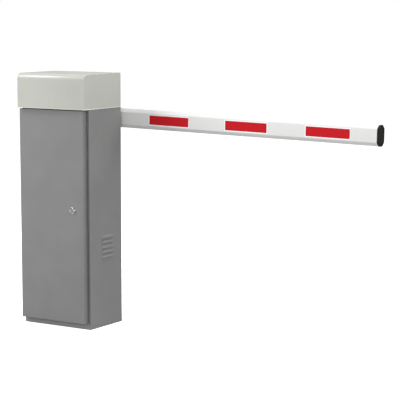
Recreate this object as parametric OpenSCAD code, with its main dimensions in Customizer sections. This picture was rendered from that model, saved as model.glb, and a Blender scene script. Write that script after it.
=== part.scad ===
// Parking barrier gate: a sheet steel cabinet with a lift-off cover and a hinged door,
// a geared motor with a crank and connecting rod, a balance spring, and an octagonal boom.
// Millimetres. Origin at the centre of the cabinet's footprint on the ground,
// +X towards the boom's tip, -Y towards the door, +Z up.

/* [Cabinet] */
// Width of the cabinet, left to right
body_w = 340; // [320:1:420]
// Depth of the cabinet without door and cover overhang
body_d = 220; // [205:1:280]
// Height of the cabinet with its cover
total_h = 1040; // [980:1:1260]
// Height of the cover
cover_h = 142; // [130:1:180]
// Thickness of the sheet steel of body and cover
skin = 2; // [1.5:0.5:3]
// Distance that the cover stands out over the door
cover_overhang = 33; // [30:1:45]
// Radius of the cover's front top edge
cover_r = 25; // [10:1:40]
// Height of the collar that the cover locates on
collar_h = 20; // [12:1:26]
// Gap between the cover's edge and the cabinet
cover_gap = 0.3; // [0.3:0.1:2]
// Width of the shadow groove beside the door
groove_w = 9.5; // [6:0.5:12]
// Width of the cabinet's front right hem beside the groove
hem_w = 6; // [4:1:10]
// Depth of the shadow groove
groove_depth = 9; // [6:1:16]

/* [Louvres] */
// Number of louvres on each side
louvre_count = 5; // [2:1:7]
// Length of one louvre
louvre_len = 80; // [50:1:110]
// Distance from louvre to louvre
louvre_pitch = 20.3; // [18:0.1:26]
// Height of one louvre's hood
louvre_h = 12; // [8:1:15]
// Distance that a hood stands out from the wall
louvre_out = 7; // [4:0.5:9]
// Height of the middle louvre above the ground
louvre_z = 327; // [250:1:420]

/* [Door] */
// Distance from the door's front to the cabinet's front
door_proud = 21; // [18:0.5:26]
// Thickness of the door's sheet
door_skin = 1.5; // [1:0.1:2.5]
// Height of the door's lower edge above the ground
door_bottom = 24; // [15:1:40]
// Gap between the door's upper edge and the cover
door_top_gap = 4; // [3:0.5:8]
// Width of the door's lip behind its flanges
door_lip = 20; // [16:1:24]
// Radius of the hinge pins
hinge_pin_r = 2.5; // [2:0.1:3]
// Opening angle of the door
door_open_deg = 100; // [60:1:100]
// Radius of the lock's barrel
lock_r = 11; // [9:0.5:13]
// Height of the lock above the ground
lock_z = 489; // [400:1:520]

/* [Base] */
// Thickness of the base plate
base_t = 5; // [4:0.5:8]
// Distance between the anchor holes along X
anchor_dx = 260; // [200:1:270]
// Distance between the anchor holes along Y
anchor_dy = 140; // [130:1:150]
// Radius of the anchor holes
anchor_r = 7; // [5:0.5:9]
// Length of the cable opening
cable_w = 160; // [100:1:160]
// Depth of the cable opening
cable_d = 90; // [60:1:92]

/* [Drive] */
// Height of the main shaft above the ground
shaft_z = 853; // [845:1:860]
// Radius of the main shaft
shaft_r = 15; // [13:0.5:16]
// Radius of drive crank and drive lever
crank_len = 50; // [42:1:54]
// Distance from the main shaft down to the crank shaft
rod_len = 190; // [186:1:194]
// Radius of the spring lever
spring_lever_len = 70; // [66:1:74]
// Radius of the pins in cranks and levers
pin_r = 6; // [5:0.5:7]
// Radial running clearance of pins and shafts
run_fit = 0.06; // [0.02:0.01:0.1]
// Module of the worm gear
gear_module = 2.5; // [2:0.1:2.6]
// Number of teeth on the worm wheel
wheel_teeth = 30; // [26:1:32]
// Radius of the motor's housing
motor_r = 48; // [40:1:52]
// Pitch radius of the pulley on the worm
pulley_big_r = 36; // [30:1:37]
// Pitch radius of the pulley on the motor
pulley_small_r = 24; // [18:1:26]

/* [Balance spring] */
// Mean radius of the coil
coil_r = 15.5; // [13:0.5:18]
// Radius of the spring wire
wire_r = 2.5; // [1.5:0.1:3]
// Number of turns
coil_turns = 22; // [14:1:26]

/* [Boom] */
// Length of the boom from the main shaft to its tip
boom_len = 1333; // [900:1:3000]
// Height of the boom's octagon
boom_h = 80; // [70:1:90]
// Thickness of the boom's octagon
boom_t = 45; // [36:1:60]
// Height of the octagon's corner cuts
boom_cut_h = 14.5; // [8:0.5:20]
// Depth of the octagon's corner cuts
boom_cut_t = 14; // [8:0.5:17]
// Wall of the boom's extrusion
boom_wall = 2.5; // [1.5:0.1:4]
// Sag of the boom below level, in degrees
boom_droop = 1.1; // [0:0.1:2]
// Length of one reflective strip
strip_len = 190; // [100:1:220]
// Height of one reflective strip
strip_h = 38; // [25:1:45]
// Distance from strip to strip
strip_pitch = 364; // [240:1:400]
// Distance from the main shaft to the first strip
strip_start = 292; // [200:1:320]

/* [Hidden] */
$fn = 48;

eps = 0.01;
hx = body_w / 2;
hy = body_d / 2;
body_top = total_h - cover_h;
seat_gap = 0.3;
fixed_fit = 0.05;

// Front frame, door and hinges
opening_l = -hx + 32;
opening_r = hx - 40;
opening_b = 62;
opening_t = body_top - 36;
return_d = 12;
groove_r = hx - hem_w;
groove_l = groove_r - groove_w;
groove_z = door_bottom + 2;
door_l = -hx;
door_r = groove_l - 1;
door_t = body_top - door_top_gap;
door_y = -hy - door_proud;
door_back = -hy - 2;
hinge_x = -hx + 3.5;
hinge_y = -hy - 5;
hinge_r = 4.5;
hinge_len = 20;
hinge_zs = [130, 450, 770];
leaf_t = 3;
gasket_w = 8;
gasket_in = 10;
lock_x = hx - 71.5;
plug_r = 7.5;
bezel_r = lock_r + 3.5;
bezel_t = 3;
cam_y = -hy + return_d + 4;
cam_t = 3;
cam_len = 45;
cam_w = 16;

// Machine planes along Y and the shelf
shelf_t = 6;
shelf_z = 540;
shelf_top = shelf_z + shelf_t;
shelf_front = -hy + 40;
bracket_t = 4;
stand_t = 6;
stand_l = 158;
stand_leg = 30;
stand_low = 780;
stand_high = 925;
front_stand_y = -hy + 52;
rear_stand_y = hy - 18;
foot_d = 28;
bearing_t = 16;
bearing_r = 33;
bearing_boss_r = 24;
bearing_bolt_r = 27.5;
bolt_r = 3;
foot_bolt_r = 4;
lever_t = 12;
spring_lever_y = front_stand_y + stand_t + bearing_t + 2;
drive_lever_y = -12;
rod_y = drive_lever_y + lever_t + 1;
rod_t = 8;
rod_w = 16;
eye_r = 12;
hub_r = 22;
wall_hole_r = hub_r + 2;
seal_fit = 1.2;
lever_rest_deg = -45;
spring_rest_deg = 135;
spring_lever_w = 28;
spring_x = spring_lever_len * cos(spring_rest_deg);
spring_pin_z = spring_lever_len * sin(spring_rest_deg);
spring_y = spring_lever_y + lever_t / 2;
fork_t = 7;
fork_gap = 1;

// Worm gear and motor
out_z = shaft_z - rod_len;
gear_y = 50;
out_r = 12.5;
wheel_r = gear_module * wheel_teeth / 2;
wheel_w = 14;
worm_r = 12.5;
worm_z = out_z - wheel_r - worm_r;
worm_lead = PI * gear_module;
worm_core = worm_r - 1.25 * gear_module;
worm_tip = worm_r + gear_module;
worm_turns = 6;
thread_pitch_half = 1.3;
thread_slope = 0.29;
journal_r = 8;
case_r = wheel_r + 18.5;
case_w = 54;
case_cavity_r = wheel_r + 7.5;
case_cavity_w = 28;
worm_case_r = 26;
worm_case_l = 124;
case_cover_t = 4;
reducer_foot = [120, 60, 10];
motor_z = worm_z - 153;
motor_x0 = -75;
motor_x1 = 95;
shield_t = 10;
motor_shaft_r = 7;
hanger_t = 10;
hanger_xs = [-22, 62];
rib_pitch = 12;
rib_t = 4;
belt_x = -120;
belt_w = 14;
belt_t = 3;
flange_t = 2;
rim = 4;

// Electrics on the rear wall
control_face = hy - 10;
case_x0 = -20;
case_x1 = 140;
case_z0 = 230;
case_z1 = 380;
case_depth = 48;
case_wall = 3;

// Balance spring and its anchor
coil_bottom = 175;
coil_top = 520;
plug_hold = 18;
plug_fit = 0.8;
anchor_z = 120;
screw_r = 5;

// Hub and boom
hub_y = hy + 2.5;
hub_boss_t = 11.5;
hub_boss_r = 30;
hub_flange_t = 10;
hub_flange_r = 60;
clamp_t = 6;
clamp_half = 90;
clamp_bolt_x = 70;
clamp_bolt_z = boom_h / 2 + 9;
clamp_half_h = clamp_bolt_z + 9;
flange_bolt_r = 45;
clamp_y = hub_y + hub_boss_t + hub_flange_t;
boom_y = clamp_y + clamp_t;
boom_cy = boom_y + boom_t / 2;
boom_root = -97;
cap_len = 9;
cap_wall = 1;
cap_plug = 30;
strip_t = 0.6;
stiffener_half = 28;
stiffener_out = 12;
handwheel_r = 38;
handwheel_w = 14;
bolt_fit = 0.3;
louvre_y = 8;

// Places a child on an axis along +Y at height z
module along_y(z = 0, x = 0) {
    translate([x, 0, z]) rotate([-90, 0, 0]) children();
}

// A round bar along Y from y0 to y1
module bar_y(r, y0, y1, x = 0, z = 0) {
    along_y(z, x) translate([0, 0, y0]) cylinder(r = r, h = y1 - y0);
}

// A round bar along X from x0 to x1
module bar_x(r, x0, x1, y = 0, z = 0) {
    translate([x0, y, z]) rotate([0, 90, 0]) cylinder(r = r, h = x1 - x0);
}

// A block between two corners
module block(a, b) {
    translate(a) cube(b - a);
}

// A frame of rectangular outline in the XZ plane between y0 and y1
module ring_xz(x0, x1, z0, z1, w, y0, y1) {
    difference() {
        block([x0, y0, z0], [x1, y1, z1]);
        block([x0 + w, y0 - 1, z0 + w], [x1 - w, y1 + 1, z1 - w]);
    }
}

// The boom's own frame, tilted down about the main shaft
module on_boom() {
    translate([0, 0, shaft_z]) rotate([0, boom_droop, 0]) children();
}

// Octagon outline in (Y, Z) about the boom's centre, grown by g
function octagon(g) = let(a = boom_t / 2 + g, b = boom_h / 2 + g,
    ca = boom_cut_t + g * 0.6, cb = boom_cut_h + g * 0.6) [
    [-a, -b + cb], [-a, b - cb], [-a + ca, b], [a - ca, b],
    [a, b - cb], [a, -b + cb], [a - ca, -b], [-a + ca, -b]];

// A length of octagonal bar along X in the boom's frame
module octagon_bar(x0, x1, g) {
    translate([x0, boom_cy, 0]) rotate([90, 0, 90])
        linear_extrude(x1 - x0) polygon(octagon(g));
}

// Louvre hoods of one side, standing out along +X from the plane x = 0
module louvre_hoods() {
    for (i = [0 : louvre_count - 1])
        translate([0, louvre_y - louvre_len / 2, louvre_z + (i - (louvre_count - 1) / 2) * louvre_pitch])
            difference() {
                translate([0, louvre_len, 0]) rotate([90, 0, 0]) linear_extrude(louvre_len)
                    polygon([[0, louvre_h], [louvre_out, 2], [louvre_out, 0], [0, 0]]);
                translate([0, louvre_len - skin, 0]) rotate([90, 0, 0])
                    linear_extrude(louvre_len - 2 * skin)
                    polygon([[-1, louvre_h - skin], [0, louvre_h - skin],
                        [louvre_out - 1.5, 1.2], [louvre_out - 1.5, -1], [-1, -1]]);
            }
}

// Openings behind the louvre hoods, through the wall at x = 0
module louvre_slots() {
    for (i = [0 : louvre_count - 1])
        translate([-skin - 1, louvre_y - louvre_len / 2 + skin,
            louvre_z + (i - (louvre_count - 1) / 2) * louvre_pitch + 0.5])
            cube([skin + 1 + eps, louvre_len - 2 * skin, louvre_h - skin - 2]);
}

// Left wall, rear wall and right wall, folded from one sheet, with the collar for the cover
module cabinet_wrap() {
    color([0.49, 0.49, 0.49]) {
        difference() {
            block([-hx, -hy + skin, 0], [hx, hy, body_top]);
            block([-hx + skin, -hy, -1], [hx - skin, hy - skin, body_top + 1]);
            translate([hx, 0, 0]) louvre_slots();
            mirror([1, 0, 0]) translate([hx, 0, 0]) louvre_slots();
            bar_y(wall_hole_r, hy - skin - 1, hy + 1, z = shaft_z);
        }
        translate([hx, 0, 0]) louvre_hoods();
        mirror([1, 0, 0]) translate([hx, 0, 0]) louvre_hoods();
        difference() {
            block([-hx + skin - eps, -hy + groove_depth + skin + 1, body_top - collar_h],
                [hx - skin + eps, hy - skin + eps, body_top + collar_h]);
            block([-hx + 2 * skin + 0.5, -hy, body_top - collar_h - 1],
                [hx - 2 * skin - 0.5, hy - 2 * skin - 0.5, body_top + collar_h + 1]);
            difference() {
                block([-hx, -hy, body_top - skin], [hx, hy, body_top + collar_h + 1]);
                block([-hx + skin + 0.5, -hy - 1, body_top - skin - 1],
                    [hx - skin - 0.5, hy - skin - 0.5, body_top + collar_h + 2]);
            }
        }
    }
}

// Front sheet with the door opening, its returns and the shadow groove
module front_frame() {
    back = -hy + groove_depth;
    color([0.46, 0.46, 0.46]) {
        difference() {
            block([-hx, -hy, 0], [hx, -hy + skin, body_top]);
            block([opening_l, -hy - 1, opening_b], [opening_r, -hy + skin + 1, opening_t]);
            block([groove_l, -hy - 1, groove_z], [groove_r, -hy + skin + 1, body_top + 1]);
        }
        difference() {
            block([opening_l - skin, -hy + skin - eps, opening_b - skin],
                [opening_r + skin, -hy + return_d, opening_t + skin]);
            block([opening_l, -hy, opening_b], [opening_r, -hy + return_d + 1, opening_t]);
        }
        difference() {
            block([groove_l - skin, -hy + skin - eps, groove_z - skin],
                [hx - skin - fixed_fit, back + skin, body_top]);
            block([groove_l, -hy, groove_z], [groove_r, back, body_top + 1]);
        }
    }
}

// Base plate with the anchor holes and the cable opening
module base_plate() {
    color([0.62, 0.63, 0.64]) difference() {
        block([-hx + skin, -hy + skin, 0], [hx - skin, hy - skin, base_t]);
        for (x = [-1, 1], y = [-1, 1])
            translate([x * anchor_dx / 2, y * anchor_dy / 2, -1]) cylinder(r = anchor_r, h = base_t + 2);
        block([-25, -cable_d / 2, -1], [cable_w - 25, cable_d / 2, base_t + 1]);
    }
}

// Two flat bars that spread the anchors' load
module anchor_bars() {
    bar_t = 6;
    color([0.7, 0.7, 0.72]) for (y = [-1, 1]) difference() {
        block([-anchor_dx / 2 - 25, y * anchor_dy / 2 - 18, base_t],
            [anchor_dx / 2 + 25, y * anchor_dy / 2 + 18, base_t + bar_t]);
        for (x = [-1, 1])
            translate([x * anchor_dx / 2, y * anchor_dy / 2, 0]) cylinder(r = anchor_r, h = 3 * base_t);
    }
}

// Foam seal round the door opening
module door_gasket() {
    color([0.1, 0.1, 0.1])
        ring_xz(door_l + gasket_in, door_r - gasket_in + 2, door_bottom + gasket_in,
            door_t - gasket_in, gasket_w, door_back + seat_gap, -hy);
}

// Fixed hinge knuckles with their pins
module hinge_posts() {
    color([0.35, 0.35, 0.36]) for (z = hinge_zs) {
        translate([hinge_x, hinge_y, z - hinge_len]) cylinder(r = hinge_r, h = hinge_len - seat_gap);
        translate([hinge_x, hinge_y, z - hinge_len / 2])
            cylinder(r = hinge_pin_r, h = 1.5 * hinge_len - 1);
        block([hinge_x - 2.5, -hy - leaf_t, z - hinge_len], [hinge_x + 5.5, -hy, z - seat_gap]);
    }
}

// Steel angles that carry the shelf on the side walls
module shelf_brackets() {
    leg = 46;
    color([0.55, 0.56, 0.57]) difference() {
        for (m = [0, 1]) mirror([m, 0, 0]) {
            block([hx - skin - bracket_t, shelf_front, shelf_z - leg], [hx - skin, hy - 6, shelf_z]);
            block([hx - skin - leg + 8, shelf_front, shelf_z - bracket_t], [hx - skin, hy - 6, shelf_z]);
        }
        at_foot_bolts() translate([0, 0, shelf_z - leg / 2]) cylinder(r = foot_bolt_r + bolt_fit, h = leg);
    }
}

// Places children at the bolts of the stands' feet
module at_foot_bolts() {
    for (x = [-1, 1], y = [front_stand_y + stand_t + 10, rear_stand_y - 10])
        translate([x * (stand_l - stand_leg / 2), y, 0]) children();
}

// Places children at the bolts of the reducer's foot
module at_reducer_bolts() {
    for (x = [-1, 1], y = [-1, 1])
        translate([x * (reducer_foot[0] / 2 - 9), gear_y + y * (reducer_foot[1] / 2 - 8), 0]) children();
}

// Shelf plate with slots for belt and spring hanger
module machine_shelf() {
    color([0.6, 0.61, 0.62]) difference() {
        block([-hx + skin + 2, shelf_front, shelf_z], [hx - skin - 2, hy - 6, shelf_top]);
        block([-spring_lever_len - 24, spring_y - 24, shelf_z - 1],
            [spring_x + 24, spring_y + 24, shelf_top + 1]);
        block([belt_x - 5, gear_y - 40, shelf_z - 1], [belt_x + belt_w + 5, gear_y + 38, shelf_top + 1]);
        at_foot_bolts() translate([0, 0, shelf_z - 1])
            cylinder(r = foot_bolt_r + bolt_fit, h = shelf_t + 2);
        at_reducer_bolts() translate([0, 0, shelf_z - 1])
            cylinder(r = foot_bolt_r + bolt_fit, h = shelf_t + 2);
    }
}

// Places children at the four bolts round a flange bearing, along +Y
module at_bearing_bolts() {
    for (a = [45 : 90 : 315])
        along_y(shaft_z + bearing_bolt_r * sin(a), bearing_bolt_r * cos(a)) children();
}

// One inverted U of plate whose front face lies at y, with feet towards s
module stand(y, s) {
    foot_y = s > 0 ? y : y + stand_t - foot_d;
    difference() {
        union() {
            block([-stand_l, y, shelf_top], [stand_l, y + stand_t, stand_high]);
            for (x = [-stand_l, stand_l - stand_leg])
                block([x, foot_y, shelf_top], [x + stand_leg, foot_y + foot_d, shelf_top + stand_t]);
        }
        block([-stand_l + stand_leg, y - 1, shelf_top - 1],
            [stand_l - stand_leg, y + stand_t + 1, stand_low]);
        bar_y(shaft_r + 5, y - 1, y + stand_t + 1, z = shaft_z);
        at_bearing_bolts() translate([0, 0, y - 1]) cylinder(r = bolt_r + bolt_fit, h = stand_t + 2);
        at_foot_bolts() translate([0, 0, shelf_top - 1])
            cylinder(r = foot_bolt_r + bolt_fit, h = stand_t + 2);
    }
}

module front_stand() {
    color([0.55, 0.56, 0.58]) stand(front_stand_y, 1);
}

module rear_stand() {
    color([0.55, 0.56, 0.58]) stand(rear_stand_y, -1);
}

// One flange bearing between y0 and y0 + bearing_t, its flange at the s end
module flange_bearing(y0, s) {
    flange_y = s < 0 ? y0 : y0 + bearing_t / 2;
    difference() {
        union() {
            bar_y(bearing_r, flange_y, flange_y + bearing_t / 2, z = shaft_z);
            bar_y(bearing_boss_r - 2, y0, y0 + bearing_t, z = shaft_z);
        }
        bar_y(shaft_r + run_fit, y0 - 1, y0 + bearing_t + 1, z = shaft_z);
        at_bearing_bolts() translate([0, 0, y0 - 1]) cylinder(r = bolt_r + bolt_fit, h = bearing_t + 2);
    }
}

module flange_bearings() {
    color([0.42, 0.44, 0.47]) {
        flange_bearing(front_stand_y + stand_t, -1);
        flange_bearing(rear_stand_y - bearing_t, 1);
    }
}

// A hexagon bolt along +Z with its head below z = 0 and a nut at its end
module hex_bolt(r, length) {
    translate([0, 0, -1.3 * r]) cylinder(r = 1.8 * r, h = 1.3 * r, $fn = 6);
    translate([0, 0, -eps]) cylinder(r = r, h = length + 1.6 * r);
    translate([0, 0, length]) cylinder(r = 1.8 * r, h = 1.3 * r, $fn = 6);
}

// Bolts of the stands, the reducer and the bearings
module machine_bolts() {
    pack = stand_t + bearing_t / 2;
    color([0.75, 0.75, 0.76]) {
        at_foot_bolts() translate([0, 0, shelf_top + stand_t]) rotate([180, 0, 0])
            hex_bolt(foot_bolt_r, stand_t + shelf_t + bracket_t);
        at_reducer_bolts() translate([0, 0, shelf_top + reducer_foot[2]]) rotate([180, 0, 0])
            hex_bolt(foot_bolt_r, reducer_foot[2] + shelf_t);
        at_bearing_bolts() {
            translate([0, 0, front_stand_y]) hex_bolt(bolt_r, pack);
            translate([0, 0, rear_stand_y + stand_t]) rotate([180, 0, 0]) hex_bolt(bolt_r, pack);
        }
    }
}

// Rubber ring that closes the shaft's hole in the rear wall
module shaft_seal() {
    color([0.08, 0.08, 0.08]) difference() {
        union() {
            bar_y(wall_hole_r - seal_fit, hy - skin - 1, hy + eps, z = shaft_z);
            bar_y(wall_hole_r + 3, hy, hy + 1.5, z = shaft_z);
        }
        bar_y(shaft_r + seat_gap, hy - skin - 2, hy + 3, z = shaft_z);
    }
}

// Stops for the spring lever at both ends of its swing
module rubber_buffers() {
    stop_r = 10;
    reach = spring_lever_w / 2 + stop_r + 0.5;
    out = 58;
    ax = out * cos(spring_rest_deg) + reach * sin(spring_rest_deg);
    az = out * sin(spring_rest_deg) - reach * cos(spring_rest_deg);
    color([0.1, 0.1, 0.1]) for (s = [-1, 1]) {
        bar_y(stop_r, spring_lever_y - 2, spring_lever_y + lever_t + 2, ax, shaft_z + s * az);
        bar_y(4, front_stand_y + stand_t, spring_lever_y - 2 + eps, ax, shaft_z + s * az);
    }
}

// Two proximity switches for the boom's end positions
module limit_sensors() {
    color([0.2, 0.35, 0.6]) for (a = [60, 150])
        translate([50 * cos(a), 0, 50 * sin(a)]) {
            bar_y(6, 66, rear_stand_y, z = shaft_z);
            bar_y(9, rear_stand_y - 5, rear_stand_y, z = shaft_z);
        }
}

// Cast housing of the worm gear
module reducer_housing() {
    y0 = gear_y - case_w / 2;
    y1 = gear_y + case_w / 2;
    color([0.3, 0.38, 0.5]) difference() {
        union() {
            bar_y(case_r, y0, y1, z = out_z);
            bar_x(worm_case_r, -worm_case_l / 2, worm_case_l / 2, gear_y, worm_z);
            block([-42, y0 + 2, shelf_top + 2], [42, y1 - 2, worm_z]);
            block([-reducer_foot[0] / 2, gear_y - reducer_foot[1] / 2, shelf_top],
                [reducer_foot[0] / 2, gear_y + reducer_foot[1] / 2, shelf_top + reducer_foot[2]]);
        }
        bar_y(case_cavity_r, y0 - 1, y1 + 1, z = out_z);
        bar_x(worm_tip + 3, -worm_case_l / 2 - 1, worm_case_l / 2 + 1, gear_y, worm_z);
        at_reducer_bolts() translate([0, 0, shelf_top - 1])
            cylinder(r = foot_bolt_r + bolt_fit, h = reducer_foot[2] + 2);
    }
}

// Bearing covers on both sides of the wheel case and both ends of the worm case
module reducer_covers() {
    y0 = gear_y - case_w / 2;
    y1 = gear_y + case_w / 2;
    color([0.34, 0.42, 0.54]) {
        difference() {
            bar_y(case_r - 2, y0 - case_cover_t, y0, z = out_z);
            bar_y(out_r + run_fit, y0 - case_cover_t - 1, y0 + 1, z = out_z);
        }
        bar_y(case_r - 2, y1, y1 + case_cover_t, z = out_z);
        difference() {
            bar_x(worm_case_r - 2, -worm_case_l / 2 - case_cover_t, -worm_case_l / 2, gear_y, worm_z);
            bar_x(journal_r + run_fit, -worm_case_l, worm_case_l, gear_y, worm_z);
        }
        bar_x(worm_case_r - 2, worm_case_l / 2, worm_case_l / 2 + case_cover_t, gear_y, worm_z);
    }
}

// Stator tube of the motor with its cooling ribs
module motor_stator() {
    color([0.36, 0.37, 0.38]) difference() {
        union() {
            bar_x(motor_r - 4, motor_x0, motor_x1, gear_y, motor_z);
            for (x = [motor_x0 + 6 : rib_pitch : motor_x1 - 10])
                if (min([for (h = hanger_xs) abs(x + rib_t / 2 - h - hanger_t / 2)]) > hanger_t)
                    bar_x(motor_r, x, x + rib_t, gear_y, motor_z);
        }
        bar_x(motor_r - 18, motor_x0 - 1, motor_x1 + 1, gear_y, motor_z);
    }
}

// End shields of the motor with the bearings
module motor_shields() {
    color([0.45, 0.46, 0.48]) for (x = [motor_x0 - shield_t, motor_x1]) difference() {
        bar_x(motor_r, x, x + shield_t, gear_y, motor_z);
        bar_x(motor_shaft_r + run_fit, x - 1, x + shield_t + 1, gear_y, motor_z);
    }
}

// Two straps that hang the motor under the shelf
module motor_hangers() {
    color([0.55, 0.56, 0.57]) for (x = hanger_xs) difference() {
        union() {
            block([x, gear_y - motor_r - 4, motor_z], [x + hanger_t, gear_y + motor_r + 4, shelf_z]);
            bar_x(motor_r + 4, x, x + hanger_t, gear_y, motor_z);
        }
        bar_x(motor_r - 4 + fixed_fit, x - 1, x + hanger_t + 1, gear_y, motor_z);
        block([x - 1, gear_y - motor_r + 6, motor_z],
            [x + hanger_t + 1, gear_y + motor_r - 6, shelf_z - 6]);
    }
}

// Toothed belt from the motor's pulley to the worm's pulley
module drive_belt() {
    d = worm_z - motor_z;
    big = pulley_big_r + seat_gap;
    small = pulley_small_r + seat_gap;
    tilt = asin((big - small) / d);
    steps = 24;
    module loop(g) polygon(concat(
        [for (i = [0 : steps]) let(a = -tilt + (180 + 2 * tilt) * i / steps)
            [(big + g) * cos(a), worm_z + (big + g) * sin(a)]],
        [for (i = [0 : steps]) let(a = 180 + tilt + (180 - 2 * tilt) * i / steps)
            [(small + g) * cos(a), motor_z + (small + g) * sin(a)]]));
    color([0.07, 0.07, 0.07]) translate([belt_x, gear_y, 0]) rotate([90, 0, 90])
        linear_extrude(belt_w) difference() {
            loop(belt_t);
            loop(0);
        }
}

// A coil of round wire between two heights, as a closed sweep
module coil(z0, z1) {
    sides = 6;
    steps = coil_turns * 12;
    rings = [for (i = [0 : steps]) let(t = i / steps, a = 360 * coil_turns * t) for (j = [0 : sides - 1])
        let(b = 360 * j / sides, r = coil_r + wire_r * cos(b))
            [r * cos(a), r * sin(a), z0 + (z1 - z0) * t + wire_r * sin(b)]];
    walls = [for (i = [0 : steps - 1], j = [0 : sides - 1])
        let(k = (j + 1) % sides, p = i * sides, q = p + sides) [p + j, q + j, q + k, p + k]];
    first = [for (j = [0 : sides - 1]) j];
    last = [for (j = [sides - 1 : -1 : 0]) steps * sides + j];
    polyhedron(rings, concat(walls, [first], [last]), convexity = 10);
}

// Balance spring, stretched while the boom is down
module balance_spring() {
    color([0.25, 0.26, 0.28]) translate([spring_x, spring_y, 0]) coil(coil_bottom, coil_top);
}

// Bracket that holds the spring's tension screw over the base plate
module spring_anchor() {
    wall = 5;
    half = 17;
    color([0.55, 0.56, 0.57]) translate([spring_x, spring_y, 0]) difference() {
        union() {
            for (y = [-half, half - wall]) block([-half, y, base_t], [half, y + wall, anchor_z]);
            block([-half, -half, anchor_z - wall], [half, half, anchor_z]);
            block([-half, -half, base_t], [half, half, base_t + wall]);
        }
        translate([0, 0, base_t + wall + 1]) cylinder(r = screw_r + 0.3, h = anchor_z);
    }
}

// Screw with nuts that sets the spring's tension and holds its lower end
module tension_screw() {
    color([0.75, 0.75, 0.76]) translate([spring_x, spring_y, 0]) {
        translate([0, 0, base_t + 40]) cylinder(r = screw_r, h = coil_bottom - base_t - 40);
        translate([0, 0, anchor_z]) cylinder(r = 1.8 * screw_r, h = 8, $fn = 6);
        translate([0, 0, anchor_z - 5 - 8]) cylinder(r = 1.8 * screw_r, h = 8, $fn = 6);
        translate([0, 0, coil_bottom - 8]) cylinder(r = coil_r + wire_r, h = 4);
        translate([0, 0, coil_bottom - 5]) cylinder(r = coil_r - wire_r - plug_fit, h = plug_hold + 5);
    }
}

// Mounting plate for the electrics on the rear wall
module control_plate() {
    color([0.72, 0.73, 0.74]) {
        block([-150, hy - 10, 90], [150, hy - 8, 390]);
        for (x = [-135, 135], z = [105, 375]) bar_y(5, hy - 8 - eps, hy - skin, x, z);
    }
}

// Open box of the motor controller
module controller_case() {
    color([0.82, 0.82, 0.8]) difference() {
        block([case_x0, control_face - case_depth, case_z0], [case_x1, control_face, case_z1]);
        block([case_x0 + case_wall, control_face - case_depth - 1, case_z0 + case_wall],
            [case_x1 - case_wall, control_face - case_wall, case_z1 - case_wall]);
        for (x = [10, 50, 90]) translate([x, control_face - 24, case_z0 - 1])
            cylinder(r = 8, h = case_wall + 2);
    }
}

// Lid of the motor controller
module controller_lid() {
    y = control_face - case_depth;
    color([0.75, 0.76, 0.75]) {
        block([case_x0, y - 4, case_z0], [case_x1, y, case_z1]);
        block([case_x0 + 20, y - 6, case_z0 + 90], [case_x1 - 20, y - 4 + eps, case_z1 - 20]);
    }
}

// Hat-shaped rail for terminals
module din_rail() {
    color([0.78, 0.79, 0.8]) {
        block([-140, control_face - 1, 162], [140, control_face, 187]);
        for (z = [162, 186]) block([-140, control_face - 7, z], [140, control_face, z + 1]);
        block([-140, control_face - 7, 157], [140, control_face - 6, 163]);
        block([-140, control_face - 7, 186], [140, control_face - 6, 192]);
    }
}

// Row of terminal blocks on the rail
module terminal_blocks() {
    rail_front = control_face - 7;
    color([0.6, 0.62, 0.6]) for (i = [0 : 11]) difference() {
        block([-124 + i * 8.4, rail_front - 36, 150], [-124 + i * 8.4 + 8, rail_front, 199]);
        for (z = [158, 191]) bar_y(2.5, rail_front - 37, rail_front - 26, -120 + i * 8.4, z);
    }
}

// Circuit breaker beside the terminals
module circuit_breaker() {
    rail_front = control_face - 7;
    color([0.88, 0.88, 0.86]) {
        block([40, rail_front - 44, 134], [76, rail_front, 215]);
        block([40, rail_front - 58, 152], [76, rail_front - 44 + eps, 197]);
        block([50, rail_front - 66, 172], [66, rail_front - 58 + eps, 178]);
    }
}

// Pan-shaped door with flanges, lips, hinge cut-outs and the lock's hole
module door_panel() {
    color([0.52, 0.52, 0.52]) difference() {
        block([door_l, door_y, door_bottom], [door_r, door_back, door_t]);
        block([door_l + door_skin, door_y + door_skin, door_bottom + door_skin],
            [door_r - door_skin, door_back - door_skin, door_t - door_skin]);
        block([door_l + door_lip, door_y + door_skin + 1, door_bottom + door_lip],
            [door_r - door_lip, door_back + 1, door_t - door_lip]);
        for (z = hinge_zs)
            block([door_l - 1, hinge_y - hinge_r - 1.5, z - hinge_len - 1.5],
                [hinge_x + 7, door_back + 1, z + hinge_len + 1.5]);
        bar_y(lock_r + 0.2, door_y - 1, door_y + door_skin + 1, lock_x, lock_z);
    }
}

// Hat-shaped stiffener inside the door
module door_stiffener() {
    inner = door_y + door_skin;
    color([0.5, 0.5, 0.5]) difference() {
        block([-stiffener_half, inner, door_bottom + 40],
            [stiffener_half, inner + stiffener_out, door_t - 40]);
        block([-stiffener_half + door_skin, inner - 1, door_bottom + 39],
            [stiffener_half - door_skin, inner + stiffener_out - door_skin, door_t - 39]);
    }
}

// Hinge knuckles and leaves on the door
module hinge_leaves() {
    inner_x = door_l + door_skin;
    color([0.4, 0.4, 0.41]) for (z = hinge_zs) difference() {
        union() {
            translate([hinge_x, hinge_y, z + seat_gap / 3]) cylinder(r = hinge_r, h = hinge_len - 1);
            block([inner_x, door_y + door_skin, z + seat_gap / 3],
                [inner_x + leaf_t, hinge_y, z + hinge_len - 1 + seat_gap / 3]);
        }
        translate([hinge_x, hinge_y, z - 1]) cylinder(r = hinge_pin_r + run_fit, h = hinge_len + 2);
    }
}

// Fixed barrel of the cam lock with its bezel
module lock_barrel() {
    color([0.85, 0.85, 0.86]) difference() {
        union() {
            bar_y(bezel_r, door_y - bezel_t, door_y, lock_x, lock_z);
            bar_y(lock_r, door_y - eps, cam_y - 3, lock_x, lock_z);
        }
        bar_y(plug_r + run_fit, door_y - bezel_t - 1, cam_y, lock_x, lock_z);
    }
}

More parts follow.
